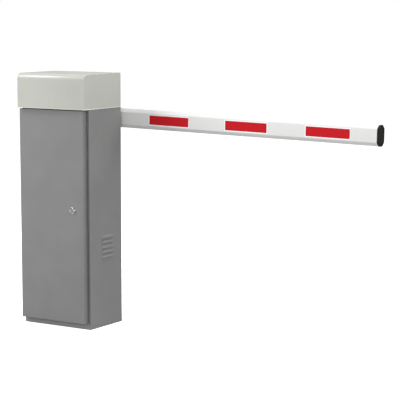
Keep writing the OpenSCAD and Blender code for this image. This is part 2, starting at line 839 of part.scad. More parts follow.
// Hexagon nut that clamps the barrel behind the door's sheet
module lock_nut() {
    color([0.7, 0.7, 0.71]) difference() {
        along_y(lock_z, lock_x) translate([0, 0, door_y + door_skin])
            cylinder(r = lock_r + 5, h = 6, $fn = 6);
        bar_y(lock_r + fixed_fit, door_y, door_y + 12, lock_x, lock_z);
    }
}

// Turning plug of the lock with its key slot
module lock_plug() {
    color([0.8, 0.8, 0.81]) difference() {
        bar_y(plug_r, door_y - bezel_t - 0.6, cam_y, lock_x, lock_z);
        block([lock_x - 0.8, door_y - bezel_t - 2, lock_z - 4.5],
            [lock_x + 0.8, door_y - bezel_t + 8, lock_z + 4.5]);
    }
}

// Cam that reaches behind the front frame when the lock is turned
module lock_cam() {
    color([0.7, 0.7, 0.71]) {
        bar_y(cam_w / 2 + 1, cam_y, cam_y + cam_t, lock_x, lock_z);
        block([lock_x - cam_w / 2, cam_y, lock_z - cam_len], [lock_x + cam_w / 2, cam_y + cam_t, lock_z]);
        bar_y(5, cam_y + cam_t - eps, cam_y + cam_t + 4, lock_x, lock_z);
    }
}

// Side outline of the cover in (Y, Z), grown inwards by g
function cover_outline(g) = let(y0 = -hy - cover_overhang + g, y1 = hy - g,
    z1 = total_h - g, r = cover_r - g, n = 10) concat(
    [[y1, body_top + cover_gap - g * 2], [y1, z1]],
    [for (i = [0 : n]) let(a = 90 + 90 * i / n) [y0 + r + r * cos(a), z1 - r + r * sin(a)]],
    [[y0, body_top + cover_gap - g * 2]]);

// Cover with a rounded front edge and a lip along its lower front edge
module top_cover() {
    z0 = body_top + cover_gap;
    y0 = -hy - cover_overhang;
    color([0.74, 0.74, 0.72]) {
        difference() {
            translate([-hx, 0, 0]) rotate([90, 0, 90]) linear_extrude(body_w) polygon(cover_outline(0));
            translate([-hx + skin, 0, 0]) rotate([90, 0, 90])
                linear_extrude(body_w - 2 * skin) polygon(cover_outline(skin));
        }
        block([-hx + skin - eps, y0 + skin - eps, z0], [hx - skin + eps, y0 + 10, z0 + skin]);
    }
}

// Main shaft in its two bearings
module main_shaft() {
    color([0.7, 0.71, 0.72])
        bar_y(shaft_r, front_stand_y - 14, hub_y + hub_boss_t + hub_flange_t - 1, z = shaft_z);
}

// Clamp collars that keep the shaft and its levers in place
module shaft_collars() {
    color([0.4, 0.41, 0.42])
        for (y = [[front_stand_y - 12, front_stand_y - 2],
                [spring_lever_y + lever_t + 1, drive_lever_y - 1]])
            difference() {
                bar_y(hub_r - 1, y[0], y[1], z = shaft_z);
                bar_y(shaft_r + fixed_fit, y[0] - 1, y[1] + 1, z = shaft_z);
            }
}

// Flat lever with a hub and one arm at an angle, from y0, bored for shaft and pin
module lever(y0, angle, reach, width, bore, pin) {
    along_y() translate([0, 0, y0]) rotate([0, 0, -angle]) difference() {
        union() {
            cylinder(r = hub_r, h = lever_t);
            translate([reach, 0, 0]) cylinder(r = width / 2, h = lever_t);
            translate([0, -width / 2 + 1, 0]) cube([reach, width - 2, lever_t]);
        }
        translate([0, 0, -1]) cylinder(r = bore, h = lever_t + 2);
        translate([reach, 0, -1]) cylinder(r = pin, h = lever_t + 2);
    }
}

// Lever on the main shaft that the connecting rod drives
module drive_lever() {
    color([0.5, 0.52, 0.55]) translate([0, 0, shaft_z])
        lever(drive_lever_y, lever_rest_deg, crank_len, 2 * eye_r,
            shaft_r + fixed_fit, pin_r + fixed_fit);
}

// Lever on the main shaft that the balance spring pulls
module spring_lever() {
    color([0.5, 0.52, 0.55]) translate([0, 0, shaft_z])
        lever(spring_lever_y, spring_rest_deg, spring_lever_len, spring_lever_w,
            shaft_r + fixed_fit, pin_r + fixed_fit);
}

// A crank pin along +Y from y0 to y1 with a head at its far end
module crank_pin(y0, y1, x, z) {
    bar_y(pin_r, y0, y1, x, z);
    bar_y(pin_r + 3, y1, y1 + 2.5, x, z);
}

// Pins of the drive lever and the spring lever
module lever_pins() {
    color([0.75, 0.75, 0.76]) {
        crank_pin(drive_lever_y, rod_y + rod_t + 0.5, crank_len * cos(lever_rest_deg),
            shaft_z + crank_len * sin(lever_rest_deg));
        crank_pin(spring_lever_y - fork_gap - fork_t, spring_lever_y + lever_t + fork_gap + fork_t + 0.5,
            spring_x, shaft_z + spring_pin_z);
    }
}

// Vane on the main shaft that the proximity switches see
module sensor_flag() {
    color([0.7, 0.7, 0.71]) translate([0, 0, shaft_z]) along_y() translate([0, 0, 61])
        rotate([0, 0, -60]) difference() {
            union() {
                cylinder(r = hub_r, h = 3);
                translate([0, -7, 0]) cube([58, 14, 3]);
            }
            translate([0, 0, -1]) cylinder(r = shaft_r + fixed_fit, h = 5);
        }
}

// Places children at the bolts between hub flange and inner clamp plate, along +Y
module at_flange_bolts() {
    for (a = [45 : 90 : 315]) along_y(flange_bolt_r * sin(a), flange_bolt_r * cos(a)) children();
}

// Places children at the clamp bolts above and below the boom, along +Y
module at_clamp_bolts() {
    for (x = [-1, 1], z = [-1, 1]) along_y(z * clamp_bolt_z, x * clamp_bolt_x) children();
}

// Hub on the main shaft outside the rear wall
module hub_flange() {
    color([0.25, 0.25, 0.26]) on_boom() difference() {
        union() {
            bar_y(hub_boss_r, hub_y, hub_y + hub_boss_t + eps);
            bar_y(hub_flange_r, hub_y + hub_boss_t, clamp_y);
        }
        bar_y(shaft_r + fixed_fit, hub_y - 1, clamp_y + 1);
        at_flange_bolts() translate([0, 0, hub_y]) cylinder(r = 5.2, h = 40);
    }
}

// One clamp plate between y0 and y0 + clamp_t
module clamp_plate(y0) {
    difference() {
        block([-clamp_half, y0, -clamp_half_h], [clamp_half, y0 + clamp_t, clamp_half_h]);
        at_clamp_bolts() translate([0, 0, y0 - 1]) cylinder(r = 5.3, h = clamp_t + 2);
        children();
    }
}

module clamp_plate_inner() {
    color([0.25, 0.25, 0.26]) on_boom() clamp_plate(clamp_y)
        at_flange_bolts() translate([0, 0, clamp_y - 1]) cylinder(r = 5.2, h = clamp_t + 2);
}

module clamp_plate_outer() {
    color([0.25, 0.25, 0.26]) on_boom() clamp_plate(boom_y + boom_t);
}

// Bolts and sleeves that clamp the boom, and the screws of the hub flange
module clamp_bolts() {
    color([0.75, 0.75, 0.76]) on_boom() {
        at_clamp_bolts() {
            translate([0, 0, clamp_y]) hex_bolt(5, 2 * clamp_t + boom_t);
            translate([0, 0, boom_y + seat_gap / 3]) cylinder(r = 8, h = boom_t - 2 * seat_gap / 3);
        }
        at_flange_bolts() {
            translate([0, 0, clamp_y - hub_flange_t - 5]) cylinder(r = 8, h = 5);
            translate([0, 0, clamp_y - hub_flange_t - eps])
                cylinder(r = 5, h = hub_flange_t + clamp_t - 1);
        }
    }
}

// Octagonal aluminium extrusion
module boom_tube() {
    color([0.93, 0.93, 0.93]) on_boom() difference() {
        octagon_bar(boom_root, boom_len - 3, 0);
        octagon_bar(boom_root - 1, boom_len, -boom_wall);
    }
}

// Black cap that slips over the boom's tip
module boom_tip_cap() {
    color([0.12, 0.12, 0.12]) on_boom() {
        difference() {
            octagon_bar(boom_len - cap_len, boom_len, cap_wall);
            octagon_bar(boom_len - cap_len - 1, boom_len - 3, fixed_fit);
        }
        octagon_bar(boom_len - cap_plug, boom_len - 3 + eps, -boom_wall - fixed_fit);
    }
}

// Black cap that slips over the boom's short end
module boom_root_cap() {
    color([0.12, 0.12, 0.12]) on_boom() {
        octagon_bar(boom_root - 4, boom_root, 0);
        octagon_bar(boom_root - eps, boom_root + 6, -boom_wall - fixed_fit);
    }
}

// Red retroreflective strips on the boom's front face
module reflective_strips() {
    color([0.78, 0.1, 0.12]) on_boom() for (i = [0 : 2])
        translate([strip_start + i * strip_pitch, boom_y - strip_t, -strip_h / 2])
            cube([strip_len, strip_t, strip_h]);
}

// Output shaft of the reducer with the crank's seat
module output_shaft() {
    color([0.7, 0.71, 0.72])
        bar_y(out_r, drive_lever_y, gear_y + case_w / 2 - seat_gap, z = out_z);
}

// Outline of the worm wheel: straight-flanked teeth on a root circle
function wheel_outline() = let(n = wheel_teeth, step = 360 / n,
    root = wheel_r - 1.25 * gear_module, tip = wheel_r + gear_module,
    wr = asin((thread_pitch_half + thread_slope * 1.25 * gear_module) / root),
    wt = asin((thread_pitch_half - thread_slope * gear_module) / tip)) [
    for (i = [0 : n - 1]) for (p = [[root, -wr], [tip, -wt], [tip, wt], [root, wr]])
        let(a = 90 + i * step + p[1]) [p[0] * cos(a), p[0] * sin(a)]];

module worm_wheel() {
    color([0.72, 0.58, 0.3]) difference() {
        along_y(out_z) translate([0, 0, gear_y - wheel_w / 2])
            linear_extrude(wheel_w) polygon(wheel_outline());
        bar_y(out_r + fixed_fit, gear_y - wheel_w, gear_y + wheel_w, z = out_z);
    }
}

// Crank on the reducer's output shaft, with its pin
module drive_crank() {
    color([0.5, 0.52, 0.55]) {
        translate([0, 0, out_z])
            lever(drive_lever_y, lever_rest_deg, crank_len, 2 * eye_r, out_r + fixed_fit, pin_r - 1);
        crank_pin(drive_lever_y + eps, rod_y + rod_t + 0.5, crank_len * cos(lever_rest_deg),
            out_z + crank_len * sin(lever_rest_deg));
    }
}

// Connecting rod between crank and drive lever
module connecting_rod() {
    open_fit = 0.15;
    px = crank_len * cos(lever_rest_deg);
    pz = out_z + crank_len * sin(lever_rest_deg);
    color([0.6, 0.61, 0.63]) difference() {
        union() {
            for (z = [pz, pz + rod_len]) bar_y(eye_r, rod_y, rod_y + rod_t, px, z);
            block([px - rod_w / 2, rod_y, pz], [px + rod_w / 2, rod_y + rod_t, pz + rod_len]);
        }
        bar_y(pin_r + run_fit, rod_y - 1, rod_y + rod_t + 1, px, pz);
        bar_y(pin_r + open_fit, rod_y - 1, rod_y + rod_t + 1, px, pz + rod_len);
    }
}

// One thread of the worm as a closed sweep round the X axis
module worm_thread() {
    per_turn = 24;
    steps = worm_turns * per_turn;
    r0 = worm_core + fixed_fit;
    w0 = thread_pitch_half + thread_slope * (worm_r - r0);
    w1 = thread_pitch_half - thread_slope * gear_module;
    rings = [for (i = [0 : steps])
        let(a = 360 * (i / per_turn - worm_turns / 2), x = worm_lead * (a / 360 + 1 / 4))
        for (p = [[r0, -w0], [worm_tip, -w1], [worm_tip, w1], [r0, w0]])
            [x + p[1], p[0] * cos(a), p[0] * sin(a)]];
    walls = [for (i = [0 : steps - 1], j = [0 : 3])
        let(k = (j + 1) % 4, p = i * 4, q = p + 4) [p + j, p + k, q + k, q + j]];
    ends = [[3, 2, 1, 0], [for (j = [0 : 3]) steps * 4 + j]];
    polyhedron(rings, concat(walls, ends), convexity = 10);
}

// Worm with its shaft and the belt pulley
module worm_shaft() {
    color([0.65, 0.66, 0.68]) translate([0, gear_y, worm_z]) {
        bar_x(worm_core, -30, 30);
        bar_x(journal_r, belt_x - 6, -30 + eps);
        bar_x(journal_r, 30 - eps, worm_case_l / 2 - seat_gap);
        pulley(pulley_big_r);
        worm_thread();
    }
}

// Belt pulley with side rims, centred on the X axis
module pulley(r) {
    difference() {
        union() {
            bar_x(r, belt_x, belt_x + belt_w);
            bar_x(r + rim, belt_x - flange_t - seat_gap, belt_x - seat_gap);
            bar_x(r + rim, belt_x + belt_w + seat_gap, belt_x + belt_w + seat_gap + flange_t);
            bar_x(r - 1, belt_x - seat_gap, belt_x + belt_w + seat_gap);
        }
        for (a = [0 : 60 : 300]) rotate([a, 0, 0])
            translate([belt_x - 8, r * 0.62, 0]) rotate([0, 90, 0])
                cylinder(r = r * 0.16, h = belt_w + 16);
    }
}

// Rotor, motor shaft and small pulley
module motor_rotor() {
    color([0.6, 0.6, 0.62]) translate([0, gear_y, motor_z]) {
        bar_x(motor_r - 19, motor_x0 + 8, motor_x1 - 8);
        bar_x(motor_shaft_r, belt_x - 6, motor_x1 + 40);
        pulley(pulley_small_r);
    }
}

// Handwheel on the motor's free end for raising the boom by hand
module motor_handwheel() {
    x0 = motor_x1 + 20;
    x1 = x0 + handwheel_w;
    spoke = handwheel_r - 8;
    color([0.1, 0.1, 0.1]) translate([0, gear_y, motor_z]) difference() {
        union() {
            difference() {
                bar_x(handwheel_r, x0, x1);
                bar_x(handwheel_r - 9, x0 - 1, x1 + 1);
            }
            for (a = [0, 60, 120]) rotate([a, 0, 0]) block([x0 + 4, -spoke, -4], [x1 - 4, spoke, 4]);
            bar_x(14, x0, x1);
        }
        bar_x(motor_shaft_r + fixed_fit, x0 - 1, x1 + 1);
    }
}

// Fork, pull rod and plug between the spring lever and the balance spring
module spring_hanger() {
    half = 12;
    bridge = 46;
    y_front = spring_lever_y - fork_gap - fork_t;
    y_back = spring_lever_y + lever_t + fork_gap;
    pz = shaft_z + spring_pin_z;
    color([0.6, 0.61, 0.63]) {
        difference() {
            union() {
                for (y = [y_front, y_back]) {
                    bar_y(half, y, y + fork_t, spring_x, pz);
                    block([spring_x - half, y, pz - bridge], [spring_x + half, y + fork_t, pz]);
                }
                block([spring_x - half, y_front, pz - bridge],
                    [spring_x + half, y_back + fork_t, pz - bridge + 10]);
            }
            bar_y(pin_r + run_fit, y_front - 1, y_back + fork_t + 1, spring_x, pz);
        }
        translate([spring_x, spring_y, coil_top - plug_hold + 4])
            cylinder(r = coil_r - wire_r - plug_fit, h = plug_hold);
        translate([spring_x, spring_y, coil_top + 4]) cylinder(r = coil_r + wire_r, h = 4);
        translate([spring_x, spring_y, coil_top - plug_hold + 5])
            cylinder(r = screw_r, h = pz - bridge - coil_top + plug_hold - 5 + eps);
    }
}

cabinet_wrap();
front_frame();
base_plate();
anchor_bars();
door_gasket();
hinge_posts();
shelf_brackets();
machine_shelf();
front_stand();
rear_stand();
flange_bearings();
machine_bolts();
shaft_seal();
rubber_buffers();
limit_sensors();
reducer_housing();
reducer_covers();
motor_stator();
motor_shields();
motor_hangers();
drive_belt();
balance_spring();
spring_anchor();
tension_screw();
control_plate();
controller_case();
controller_lid();
din_rail();
terminal_blocks();
circuit_breaker();
door_panel();
door_stiffener();
hinge_leaves();
lock_barrel();
lock_nut();
lock_plug();
lock_cam();
top_cover();
main_shaft();
shaft_collars();
drive_lever();
spring_lever();
lever_pins();
sensor_flag();
hub_flange();
clamp_plate_inner();
clamp_plate_outer();
clamp_bolts();
boom_tube();
boom_tip_cap();
boom_root_cap();
reflective_strips();
output_shaft();
worm_wheel();
drive_crank();
connecting_rod();
worm_shaft();
motor_rotor();
motor_handwheel();
spring_hanger();
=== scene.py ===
import math

import bmesh
import bpy
from mathutils import Matrix, Vector


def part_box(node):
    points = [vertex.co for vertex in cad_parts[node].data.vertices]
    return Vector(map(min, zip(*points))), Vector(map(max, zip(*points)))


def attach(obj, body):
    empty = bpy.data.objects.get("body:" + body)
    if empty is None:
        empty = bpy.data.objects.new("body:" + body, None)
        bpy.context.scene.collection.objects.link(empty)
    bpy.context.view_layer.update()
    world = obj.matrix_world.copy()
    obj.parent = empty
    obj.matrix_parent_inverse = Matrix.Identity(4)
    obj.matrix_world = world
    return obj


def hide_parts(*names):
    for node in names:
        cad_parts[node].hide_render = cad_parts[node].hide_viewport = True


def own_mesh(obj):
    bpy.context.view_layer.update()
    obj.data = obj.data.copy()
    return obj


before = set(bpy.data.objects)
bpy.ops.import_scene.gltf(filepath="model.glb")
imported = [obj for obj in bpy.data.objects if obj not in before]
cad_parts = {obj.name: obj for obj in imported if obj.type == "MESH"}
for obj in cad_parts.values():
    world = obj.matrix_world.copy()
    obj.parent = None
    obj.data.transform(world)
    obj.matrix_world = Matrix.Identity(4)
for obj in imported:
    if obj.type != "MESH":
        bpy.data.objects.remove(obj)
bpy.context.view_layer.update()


# Cabinet body.
# Walls, front frame and shadow groove are folded from 2 mm sheet steel, with louvres pressed out of
# both sides, then powder coated dark grey in one piece: a fine, even peel with a dull sheen.
def linear(code):
    """Linear colour of an sRGB hex value."""
    parts = [int(code[i:i + 2], 16) / 255 for i in (0, 2, 4)]
    return [c / 12.92 if c <= 0.04045 else ((c + 0.055) / 1.055) ** 2.4 for c in parts] + [1]


def add_node(owner, kind, inputs=(), **settings):
    """Adds a node with its settings; inputs maps a socket to a value or to another node's output."""
    node = owner.node_tree.nodes.new(kind)
    for name, value in settings.items():
        setattr(node, name, value)
    for socket, value in dict(inputs).items():
        if isinstance(value, bpy.types.NodeSocket):
            owner.node_tree.links.new(value, node.inputs[socket])
        else:
            node.inputs[socket].default_value = value
    return node


def new_finish(name, **shader_values):
    """A material whose shader has the given constants, returned with its shader."""
    material = bpy.data.materials.new(name)
    material.use_nodes = True
    shader = material.node_tree.nodes["Principled BSDF"]
    for socket, value in shader_values.items():
        shader.inputs[socket.replace("_", " ")].default_value = value
    return material, shader


def mottle(material, shader, light, dark, size, bump, grain, depth, stretch=(1, 1, 1)):
    """Colour that drifts between two shades over a size, and a grain that stands up by a depth."""
    tree = material.node_tree
    place = add_node(material, "ShaderNodeTexCoord").outputs["Object"]
    turned = add_node(material, "ShaderNodeMapping", {"Vector": place, "Scale": stretch}).outputs[0]
    cloud = add_node(material, "ShaderNodeTexNoise", {"Vector": turned, "Scale": 1 / size, "Detail": 4})
    drift = add_node(material, "ShaderNodeMapRange", {"Value": cloud.outputs[0], "From Min": 0.3,
                                                      "From Max": 0.7})
    shade = add_node(material, "ShaderNodeMix", {0: drift.outputs[0], 6: dark, 7: light},
                     data_type="RGBA")
    tree.links.new(shade.outputs[2], shader.inputs["Base Color"])
    fine = add_node(material, "ShaderNodeTexNoise", {"Vector": turned, "Scale": 1 / grain, "Detail": 3})
    relief = add_node(material, "ShaderNodeBump", {"Height": fine.outputs[0], "Strength": bump,
                                                   "Distance": depth})
    tree.links.new(relief.outputs[0], shader.inputs["Normal"])
    return fine


def powder_coat(name, light, dark, roughness, gloss):
    """Baked polyester powder: its peel is about 1 mm across and is drawn at 2.5 mm so that it shows."""
    material, shader = new_finish(name, Roughness=roughness, Specular_IOR_Level=gloss)
    fine = mottle(material, shader, linear(light), linear(dark), 0.12, 0.35, 0.0025, 0.0002)
    sheen = add_node(material, "ShaderNodeMapRange", {"Value": fine.outputs[0], "From Min": 0.35,
                                                      "From Max": 0.65, "To Min": roughness - 0.05,
                                                      "To Max": roughness + 0.07})
    material.node_tree.links.new(sheen.outputs[0], shader.inputs["Roughness"])
    return material


def activate(piece):
    """Leaves this piece alone selected."""
    bpy.ops.object.select_all(action="DESELECT")
    piece.select_set(True)
    bpy.context.view_layer.objects.active = piece


def place_in_mesh(piece, name):
    """Puts the piece's place into its mesh and names it."""
    activate(piece)
    bpy.ops.object.transform_apply(location=True, rotation=True, scale=True)
    piece.name = name
    piece.data.name = name
    return piece


def block(name, low, high):
    """A cube between two corners."""
    bpy.ops.object.select_all(action="DESELECT")
    low, high = Vector(low), Vector(high)
    bpy.ops.mesh.primitive_cube_add(size=1, location=(low + high) / 2, scale=high - low)
    return place_in_mesh(bpy.context.object, name)


def bar(name, radius, start, end, sides=48):
    """A cylinder between two points on its axis."""
    bpy.ops.object.select_all(action="DESELECT")
    start, end = Vector(start), Vector(end)
    turn = (end - start).to_track_quat("Z", "Y").to_euler()
    bpy.ops.mesh.primitive_cylinder_add(vertices=sides, radius=radius, depth=(end - start).length,
                                        location=(start + end) / 2, rotation=turn)
    return place_in_mesh(bpy.context.object, name)


def edit(piece):
    """Opens the piece in edit mode."""
    activate(piece)
    bpy.ops.object.mode_set(mode="EDIT")


def done():
    """Closes edit mode."""
    bpy.ops.object.mode_set(mode="OBJECT")


def pick(kind, test):
    """Selects the vertices, edges or faces of the open piece that pass a test."""
    bpy.ops.mesh.select_mode(type=kind)
    bpy.ops.mesh.select_all(action="DESELECT")
    piece = bpy.context.object
    mesh = bmesh.from_edit_mesh(piece.data)
    mesh.normal_update()
    for part in {"VERT": mesh.verts, "EDGE": mesh.edges, "FACE": mesh.faces}[kind]:
        if test(part):
            part.select_set(True)
    mesh.select_flush_mode()
    bmesh.update_edit_mesh(piece.data)


def middle(part):
    """Centre of an edge or face."""
    return sum((v.co for v in part.verts), Vector()) / len(part.verts)


def all_at(part, axis, value):
    """Whether every vertex of an edge or face lies at a value along an axis."""
    return all(abs(v.co[axis] - value) < 1e-5 for v in part.verts)


def folded(edge):
    """Whether two faces meet at this edge at more than 50 degrees."""
    return edge.is_manifold and abs(edge.calc_face_angle(0)) > math.radians(50)


def shape(piece, kind, **settings):
    """Adds a modifier with its settings and applies it."""
    activate(piece)
    modifier = piece.modifiers.new(kind, kind)
    for name, value in settings.items():
        setattr(modifier, name, value)
    bpy.ops.object.modifier_apply(modifier=modifier.name)


def cut(piece, cutters):
    """Takes the cutters out of the piece and removes them."""
    for cutter in cutters:
        shape(piece, "BOOLEAN", object=cutter, operation="DIFFERENCE", solver="EXACT")
        bpy.data.objects.remove(cutter)


def repeat(piece, move):
    """A copy of the piece with its own mesh, moved or mirrored, its faces outwards."""
    twin = piece.copy()
    twin.data = piece.data.copy()
    bpy.context.collection.objects.link(twin)
    twin.matrix_world = move
    place_in_mesh(twin, piece.name)
    if move.determinant() < 0:
        edit(twin)
        bpy.ops.mesh.select_all(action="SELECT")
        bpy.ops.mesh.flip_normals()
        done()
    return twin


def join(pieces):
    """Joins pieces into the first one."""
    activate(pieces[0])
    for piece in pieces[1:]:
        piece.select_set(True)
    bpy.ops.object.join()


def dress(piece, body, finish, *stands_for, sharp=35):
    """Gives a piece its finish, smooths it, and lets it ride on its body in place of CAD nodes."""
    activate(piece)
    piece.data.materials.clear()
    piece.data.materials.append(finish)
    bpy.ops.object.shade_smooth_by_angle(angle=math.radians(sharp))
    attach(piece, body)
    if stands_for:
        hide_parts(*stands_for)


body_coat = powder_coat("powder_coated_steel_dark_grey", "7F807F", "7B7B7B", 0.52, 0.28)
frame_low, frame_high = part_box("front_frame")
cover_low, cover_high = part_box("top_cover")
door_low, door_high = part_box("door_panel")
rear = cover_high.y
front = frame_low.y
top = frame_high.z
steel = 0.002
opening_x = (frame_low.x + 0.032, frame_high.x - 0.040)
opening_z = (0.062, top - 0.036)
return_depth = 0.012
groove_x = (door_high.x + 0.001, frame_high.x - 0.006)
groove_z = door_low.z + 0.002
groove_depth = 0.009
corner_r = 0.0022
fold_r = 0.0007

cabinet = block("cabinet_body", (frame_low.x, front, 0), (frame_high.x, rear, top))
edit(cabinet)
pick("FACE", lambda f: abs(f.normal.z) > 0.9)
bpy.ops.mesh.delete(type="FACE")
for axis, values in ((0, opening_x + groove_x), (2, opening_z + (groove_z,))):
    for value in values:
        pick("FACE", lambda f: f.normal.y < -0.9)
        spot = Vector((0, front, 0))
        spot[axis] = value
        normal = Vector((0, 0, 0))
        normal[axis] = 1
        bpy.ops.mesh.bisect(plane_co=spot, plane_no=normal)
pick("FACE", lambda f: f.normal.y < -0.9 and opening_x[0] < middle(f).x < opening_x[1]
     and opening_z[0] < middle(f).z < opening_z[1])
bpy.ops.mesh.delete(type="FACE")
pick("EDGE", lambda e: e.is_boundary and all_at(e, 1, front) and 0.001 < middle(e).z < top - 0.001)
bpy.ops.mesh.extrude_region_move(TRANSFORM_OT_translate={"value": (0, return_depth, 0)})
pick("FACE", lambda f: f.normal.y < -0.9 and groove_x[0] < middle(f).x < groove_x[1]
     and middle(f).z > groove_z and all_at(f, 1, front))
bpy.ops.mesh.extrude_region_move(TRANSFORM_OT_translate={"value": (0, groove_depth, 0)})
pick("EDGE", lambda e: folded(e) and any(all_at(e, 0, x) and all_at(e, 1, y)
                                         for x in (frame_low.x, frame_high.x) for y in (front, rear)))
bpy.ops.mesh.bevel(offset=corner_r, segments=4)
pick("EDGE", lambda e: folded(e) and all_at(e, 1, front))
bpy.ops.mesh.bevel(offset=fold_r, segments=2)
done()
shape(cabinet, "SOLIDIFY", thickness=steel, offset=-1, use_even_offset=True)

wrap_low, wrap_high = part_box("cabinet_wrap")
hood_out = wrap_high.x - frame_high.x
hood_len = 0.080
hood_h = 0.012
hood_count = 5
hood_pitch = 0.0203
hood_y = 0.008
hood_z = 0.327
hood_steel = 0.0012
ball_below = 0.1
slot_end = 0.004
slot_low = 0.0008
slot_high = 0.003
# One hood is the upper part of a stretched ball, open below.
bpy.ops.object.select_all(action="DESELECT")
bpy.ops.mesh.primitive_uv_sphere_add(segments=32, ring_count=16, radius=1)
hood = bpy.context.object
edit(hood)
for spot, normal in (((0, 0, 0), (1, 0, 0)), ((0, 0, -ball_below), (0, 0, 1))):
    bpy.ops.mesh.select_all(action="SELECT")
    bpy.ops.mesh.bisect(plane_co=spot, plane_no=normal, clear_inner=True)
bpy.ops.mesh.select_all(action="SELECT")
bpy.ops.transform.translate(value=(0, 0, ball_below))
done()
hood.scale = (hood_out, hood_h, hood_h / (1 + ball_below))
place_in_mesh(hood, "hood")
edit(hood)
for side in (-1, 1):
    pick("VERT", lambda v: v.co.y * side > 1e-4)
    bpy.ops.transform.translate(value=(0, side * (hood_len / 2 - hood_h), 0))
bpy.ops.mesh.select_all(action="SELECT")
bpy.ops.mesh.remove_doubles(threshold=1e-6)
bpy.ops.mesh.normals_make_consistent(inside=False)
done()
shape(hood, "SOLIDIFY", thickness=hood_steel, offset=-1)
slot_cutters = []
hoods = []
for i in range(hood_count):
    z = hood_z + (i - (hood_count - 1) / 2) * hood_pitch
    slot_cutters.append(block("slot", (wrap_low.x, hood_y - hood_len / 2 + slot_end, z + slot_low),
                              (wrap_high.x, hood_y + hood_len / 2 - slot_end, z + hood_h - slot_high)))
    for side in (1, -1):
        hoods.append(repeat(hood, Matrix.Translation((side * frame_high.x, hood_y, z))
                            @ Matrix.Diagonal((side, 1, 1, 1))))
bpy.data.objects.remove(hood)
shaft_z = (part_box("main_shaft")[0].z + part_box("main_shaft")[1].z) / 2
shaft_hole_r = 0.024
overrun = 0.01
shaft_hole = bar("shaft_hole", shaft_hole_r, (0, rear - overrun, shaft_z), (0, rear + overrun, shaft_z))
cut(cabinet, slot_cutters + [shaft_hole])

# The collar that the cover sits over is welded inside the walls.
collar_gap = 0.0005
collar_front = -0.093
collar_below = 0.02
collar = block("collar", (frame_low.x + steel + collar_gap, collar_front, top - collar_below),
               (frame_high.x - steel - collar_gap, rear - steel - collar_gap, wrap_high.z))
edit(collar)
pick("FACE", lambda f: abs(f.normal.z) > 0.9 or f.normal.y < -0.9)
bpy.ops.mesh.delete(type="FACE")
pick("EDGE", folded)
bpy.ops.mesh.bevel(offset=0.002, segments=3)
done()
shape(collar, "SOLIDIFY", thickness=steel, offset=-1, use_even_offset=True)
join([cabinet, collar] + hoods)
dress(cabinet, "cabinet", body_coat, "cabinet_wrap", "front_frame")


# Door.
# A pan of 1.5 mm sheet steel with folded flanges and a return lip, cut out at its hinges and bored
# for the lock, in the same dark grey powder coat as the body.
def edged_copy(node, body, finish, edge=0.0005):
    """A copy of a CAD node with its triangles merged into faces and its edges rounded, in its place."""
    piece = bpy.data.objects.new(node + "_made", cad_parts[node].data.copy())
    bpy.context.collection.objects.link(piece)
    edit(piece)
    bpy.ops.mesh.select_all(action="SELECT")
    bpy.ops.mesh.remove_doubles(threshold=2e-6)
    bpy.ops.mesh.dissolve_limited(angle_limit=math.radians(1.5))
    done()
    shape(piece, "BEVEL", width=edge, segments=2, limit_method="ANGLE", angle_limit=math.radians(40))
    dress(piece, body, finish, node)


door_steel = 0.0015
lip = 0.020
lock_low, lock_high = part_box("lock_barrel")
lock_x = (lock_low.x + lock_high.x) / 2
lock_z = (lock_low.z + lock_high.z) / 2
door = block("door_pan", door_low, door_high)
centre = (door_low + door_high) / 2
door_size = door_high - door_low
edit(door)
pick("FACE", lambda f: f.normal.y > 0.9)
bpy.ops.mesh.delete(type="FACE")
pick("EDGE", folded)
bpy.ops.mesh.bevel(offset=corner_r, segments=4)
pick("EDGE", lambda e: e.is_boundary)
bpy.ops.mesh.extrude_region_move(TRANSFORM_OT_translate={"value": (0, 0, 0)})
left_open = ((door_size.x - 2 * lip) / door_size.x, 1, (door_size.z - 2 * lip) / door_size.z)
bpy.ops.transform.resize(value=left_open, center_override=centre)
done()
shape(door, "SOLIDIFY", thickness=door_steel, offset=-1, use_even_offset=True)
hinge_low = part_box("hinge_posts")[0]
hinge_r = 0.0045
hinge_x = hinge_low.x + hinge_r
hinge_y = hinge_low.y + hinge_r
hinge_zs = (0.130, 0.450, 0.770)
gap_half = 0.0215
gap_front = 0.006
gap_side = 0.007
cutters = [block("gap", (door_low.x - 0.001, hinge_y - gap_front, z - gap_half),
                 (hinge_x + gap_side, 0, z + gap_half)) for z in hinge_zs]
lock_hole_r = 0.0112
cutters.append(bar("lock_hole", lock_hole_r, (lock_x, door_low.y - overrun, lock_z),
                   (lock_x, door_low.y + overrun, lock_z)))
cut(door, cutters)
dress(door, "door", body_coat, "door_panel")
edged_copy("door_stiffener", "door", body_coat)

zinc_bolt, shader = new_finish("bright_zinc_plated_steel", Metallic=1.0, Roughness=0.33)
# Electroplated zinc: a bluish bright skin with faint clouds where the passivation dried.
mottle(zinc_bolt, shader, linear("C9CCCF"), linear("A9ADB2"), 0.012, 0.15, 0.0012, 0.0001)
edged_copy("hinge_posts", "cabinet", zinc_bolt)
edged_copy("hinge_leaves", "door", zinc_bolt)

foam, shader = new_finish("closed_cell_epdm_foam", Roughness=0.92)
# Skinned foam strip: matt black with small open cells.
mottle(foam, shader, linear("232323"), linear("161616"), 0.01, 0.8, 0.002, 0.0008)
edged_copy("door_gasket", "cabinet", foam, edge=0.0006)

# Lock.
# A cam lock of turned and chromed zinc: bezel, barrel with a nut behind the sheet, a turning plug
# with a key slot, and a zinc plated cam that swings behind the frame.
chrome, shader = new_finish("polished_chrome", Metallic=1.0, Roughness=0.09)
